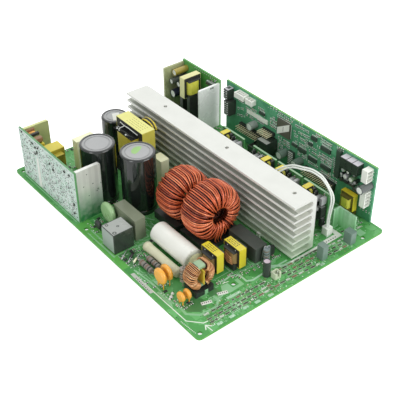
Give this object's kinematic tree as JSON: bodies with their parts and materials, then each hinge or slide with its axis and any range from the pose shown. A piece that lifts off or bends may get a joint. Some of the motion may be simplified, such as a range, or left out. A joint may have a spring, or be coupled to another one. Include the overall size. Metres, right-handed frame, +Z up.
{
  "type": "ups power board",
  "caption": "Power circuit board with a long finned heatsink, wound toroid chokes, bulk capacitors, taped transformers, relays and upright daughter boards.",
  "frame": {"origin": "under the middle of the main board, at the tips of its solder joints", "axes": "+X along the short edge to the right, +Y along the long edge to the back, +Z up from the component side"},
  "size_m": [0.168, 0.232, 0.0515],
  "materials": {
    "amber_epoxy": "dipped epoxy",
    "black_plastic": "moulded",
    "can_metal": "drawn can",
    "chip_black": "moulded package",
    "coil_yellow": "taped coil",
    "copper_wire": "enamelled copper wire",
    "cream_ceramic": "fired body",
    "cream_plastic": "moulded box",
    "ferrite": "sintered ferrite",
    "green_core": "green coated core",
    "green_epoxy": "dipped epoxy",
    "grey_plastic": "moulded box",
    "grey_resistor": "lacquered body",
    "heatsink_metal": "extruded, bare",
    "light_plastic": "moulded case",
    "pale_tape": "polyester tape",
    "pcb_dark": "dark green solder mask",
    "pcb_green": "green solder mask",
    "pcb_pale": "soldered green laminate",
    "plate_metal": "mill finish sheet",
    "powder_core": "coated core",
    "relay_grey": "moulded case",
    "sleeve_black": "shrink sleeve",
    "solder": "bright solder",
    "steel": "plated",
    "tan_resistor": "lacquered body",
    "white_film": "wrapped film",
    "white_plastic": "moulded",
    "white_wire": "insulated wire",
    "yellow_plastic": "moulded",
    "yellow_tape": "polyester tape"
  },
  "bodies": {
    "root": {"main_pcb": "pcb_green", "solder_joints": "solder", "heatsink": "heatsink_metal", "heatsink_feet": "steel", "ground_clip": "steel", "power_transistors": "chip_black", "transistor_screws": "steel", "heat_sensor": "black_plastic", "front_choke_winding": "copper_wire", "rear_choke_winding": "copper_wire", "choke_cores": "powder_core", "choke_bases": "black_plastic", "capacitor_sleeves": "sleeve_black", "capacitor_tops": "can_metal", "power_tf_core": "ferrite", "power_tf_tape": "pale_tape", "power_tf_windings": "coil_yellow", "power_tf_bobbin": "black_plastic", "aux_board": "pcb_pale", "aux_plates": "plate_metal", "cream_boxes": "cream_plastic", "grey_boxes": "grey_plastic", "light_relay": "light_plastic", "slim_relay": "black_plastic", "varistor": "green_epoxy", "thermistor": "black_plastic", "axial_capacitor": "white_film", "rod_resistor": "cream_ceramic", "upright_resistors": "tan_resistor", "lying_resistors": "grey_resistor", "disc_capacitors": "amber_epoxy", "cm_core": "green_core", "cm_windings": "copper_wire", "cm_divider": "yellow_plastic", "cm_base": "black_plastic", "small_tf_cores": "ferrite", "small_tf_tapes": "yellow_tape", "small_tf_windings": "coil_yellow", "small_tf_bobbins": "black_plastic", "small_capacitor_sleeves": "sleeve_black", "small_capacitor_tops": "can_metal", "small_transistor": "chip_black", "white_headers": "white_plastic", "wire_connector": "white_plastic", "sensor_wires": "white_wire", "bent_plate": "plate_metal", "supply_board": "pcb_green", "supply_plates": "plate_metal", "control_board": "pcb_dark", "black_connectors": "black_plastic", "control_chips": "chip_black", "control_relays": "relay_grey", "pin_headers": "black_plastic", "driver_boards": "pcb_dark"}
  },
  "joints": []
}
